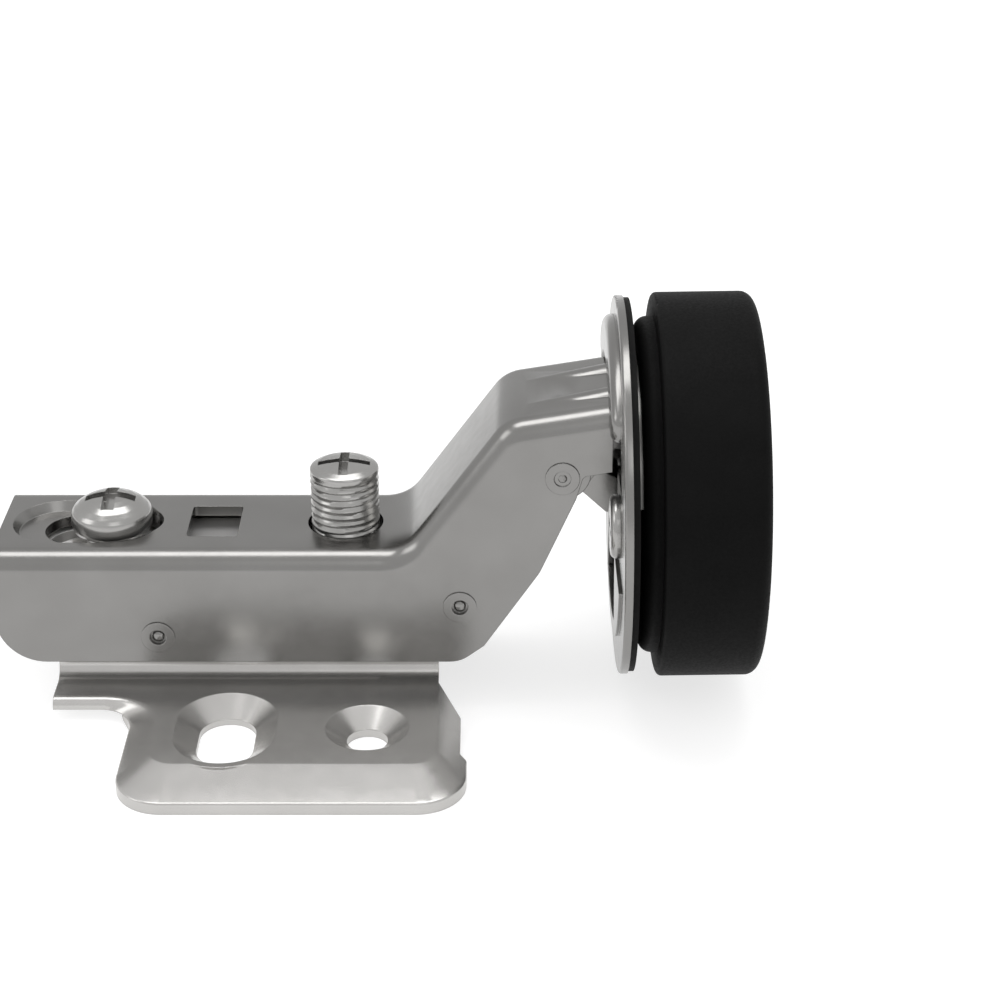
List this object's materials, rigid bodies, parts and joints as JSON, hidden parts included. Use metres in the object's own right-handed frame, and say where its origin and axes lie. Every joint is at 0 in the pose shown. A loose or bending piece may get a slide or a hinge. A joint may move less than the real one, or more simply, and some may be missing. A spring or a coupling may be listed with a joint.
{
  "type": "concealed cup hinge",
  "caption": "Concealed cup hinge for an inset glass door: cranked channel arm on a winged plate, two links and a cup with a screwed glass clamp.",
  "frame": {"origin": "on the cabinet side, midway between the two round holes of the mounting plate", "axes": "+X along the arm towards the cup and into the door opening's glass, +Y across the arm, +Z away from the cabinet side"},
  "size_m": [0.0788, 0.056, 0.0423],
  "materials": {
    "nickel_steel": "bright nickel plate on pressed steel",
    "screw_steel": "bright nickel plate, turned",
    "bush_steel": "plain turned steel",
    "spring_steel": "drawn wire, lightly oiled",
    "insert_brass": "turned",
    "black_plastic": "fine-grained moulded black",
    "gasket_rubber": "matt black"
  },
  "bodies": {
    "plate": {"mounting_plate": "nickel_steel"},
    "slide_block": {"slide_block": "nickel_steel"},
    "arm": {"hinge_arm": "nickel_steel", "front_rivets": "nickel_steel", "middle_rivet": "nickel_steel", "rear_rivets": "nickel_steel", "pivot_bushes": "bush_steel"},
    "adjusting_screw": {"adjusting_screw": "screw_steel"},
    "fixing_screw": {"fixing_screw": "screw_steel"},
    "inner_link": {"inner_link": "nickel_steel", "closing_spring": "spring_steel"},
    "cup": {"hinge_cup": "nickel_steel", "outer_cup_pin": "bush_steel", "cup_pin_bushes": "bush_steel", "inner_cup_pins": "bush_steel", "flange_gasket": "gasket_rubber"},
    "outer_link": {"outer_link": "nickel_steel"},
    "glass_clamp": {"clamp_body": "black_plastic", "clamp_inserts": "insert_brass", "cover_cap": "black_plastic"},
    "clamp_screw_left": {"clamp_screw_left": "screw_steel"},
    "clamp_screw_right": {"clamp_screw_right": "screw_steel"}
  },
  "joints": [
    {"name": "depth_slide", "type": "slide", "parent": "plate", "child": "slide_block", "axis": [1, 0, 0], "range_m": [0, 0.0036]},
    {"name": "arm_tilt", "type": "hinge", "parent": "slide_block", "child": "arm", "pos_m": [-0.02195, 0, 0.00845], "axis": [0, -1, 0], "range_deg": [-1.4, 1.4]},
    {"name": "adjusting_turn", "type": "hinge", "parent": "slide_block", "child": "adjusting_screw", "pos_m": [-0.00265, 0, 0.015], "axis": [0, 0, -1], "range_deg": [-215, 215]},
    {"name": "fixing_turn", "type": "hinge", "parent": "plate", "child": "fixing_screw", "pos_m": [-0.0272, 0, 0.015], "axis": [0, 0, 1], "range_deg": [0, 180]},
    {"name": "inner_link_turn", "type": "hinge", "parent": "arm", "child": "inner_link", "pos_m": [0.0094, 0, 0.012], "axis": [0, -1, 0], "range_deg": [0, 18.4]},
    {"name": "door_swing", "type": "hinge", "parent": "inner_link", "child": "cup", "pos_m": [0.0338, 0, 0.011], "axis": [0, 1, 0], "range_deg": [0, 110.2]},
    {"name": "outer_link_turn", "type": "hinge", "parent": "cup", "child": "outer_link", "pos_m": [0.0359, 0, 0.0145], "axis": [0, -1, 0], "range_deg": [0, 99.8]},
    {"name": "clamp_slide", "type": "slide", "parent": "cup", "child": "glass_clamp", "axis": [0.9999, 0, 0.0157], "range_m": [0, 0.0037]},
    {"name": "clamp_screw_left_turn", "type": "hinge", "parent": "cup", "child": "clamp_screw_left", "pos_m": [0.02556, 0.0096, 0.0222], "axis": [-0.9999, 0, -0.0157], "range_deg": [0, 1910]},
    {"name": "clamp_screw_right_turn", "type": "hinge", "parent": "cup", "child": "clamp_screw_right", "pos_m": [0.02556, -0.0096, 0.0222], "axis": [-0.9999, 0, -0.0157], "range_deg": [0, 1910]}
  ],
  "couplings": [
    {"joint": "adjusting_turn", "follows": "arm_tilt", "ratio": 151.58},
    {"joint": "inner_link_turn", "follows": "door_swing", "ratio": 0.16515},
    {"joint": "outer_link_turn", "follows": "door_swing", "ratio": 0.90381},
    {"joint": "clamp_screw_left_turn", "follows": "clamp_slide", "rad_per_m": 8976},
    {"joint": "clamp_screw_right_turn", "follows": "clamp_slide", "rad_per_m": 8976}
  ]
}
